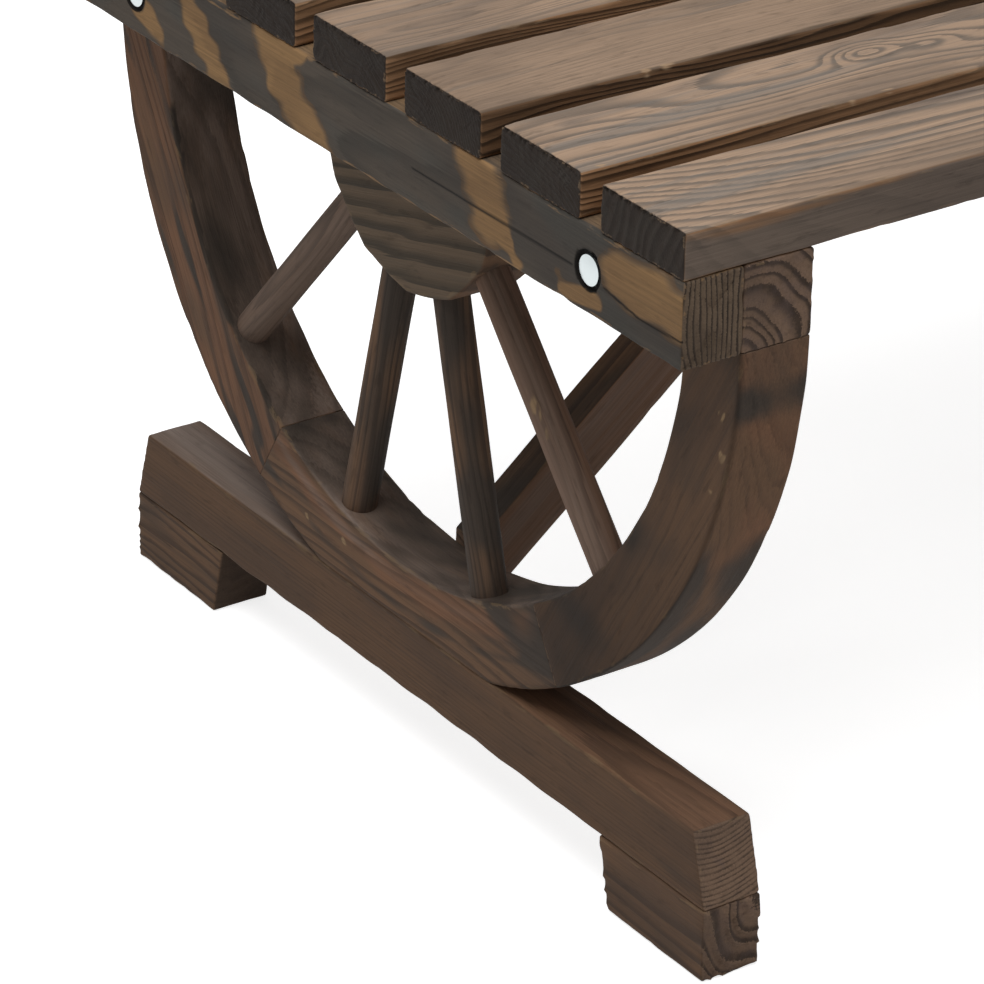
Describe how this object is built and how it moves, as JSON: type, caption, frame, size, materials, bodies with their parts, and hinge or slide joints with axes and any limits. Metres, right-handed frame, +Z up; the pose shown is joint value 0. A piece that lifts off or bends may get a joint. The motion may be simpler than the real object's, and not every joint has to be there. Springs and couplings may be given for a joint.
{
  "type": "garden table",
  "caption": "Low slatted garden table in scorched fir, its ends standing on half cart wheels with hub, spokes and rim, on foot beams with diagonal braces.",
  "frame": {"origin": "on the floor, under the middle of the table top", "axes": "+X along the slats, +Y across the table, +Z up"},
  "size_m": [0.9016, 0.595, 0.4445],
  "materials": {
    "slat_fir": "carbonised, brushed, weathered grey-brown",
    "frame_fir": "carbonised, dark brown",
    "zinc_steel": "zinc plated",
    "screw_steel": "yellow passivated",
    "dowel_wood": "plain beech"
  },
  "bodies": {
    "root": {"bolt_nuts": "zinc_steel", "bolt_washers": "zinc_steel", "brace_far": "frame_fir", "brace_near": "frame_fir", "carriage_bolts": "zinc_steel", "centre_batten": "frame_fir", "dowels": "dowel_wood", "end_rail_far": "frame_fir", "end_rail_near": "frame_fir", "felloe_1_far": "frame_fir", "felloe_1_near": "frame_fir", "felloe_2_far": "frame_fir", "felloe_2_near": "frame_fir", "felloe_3_far": "frame_fir", "felloe_3_near": "frame_fir", "foot_beam_far": "frame_fir", "foot_beam_near": "frame_fir", "foot_left_far": "frame_fir", "foot_left_near": "frame_fir", "foot_right_far": "frame_fir", "foot_right_near": "frame_fir", "foot_screws": "screw_steel", "hub_far": "frame_fir", "hub_near": "frame_fir", "inner_bar_far": "frame_fir", "inner_bar_near": "frame_fir", "seat_screws": "screw_steel", "slat_1": "slat_fir", "slat_2": "slat_fir", "slat_3": "slat_fir", "slat_4": "slat_fir", "slat_5": "slat_fir", "slat_6": "slat_fir", "slat_7": "slat_fir", "slat_screws": "screw_steel", "spoke_1_far": "frame_fir", "spoke_1_near": "frame_fir", "spoke_2_far": "frame_fir", "spoke_2_near": "frame_fir", "spoke_3_far": "frame_fir", "spoke_3_near": "frame_fir", "spoke_4_far": "frame_fir", "spoke_4_near": "frame_fir"}
  },
  "joints": []
}
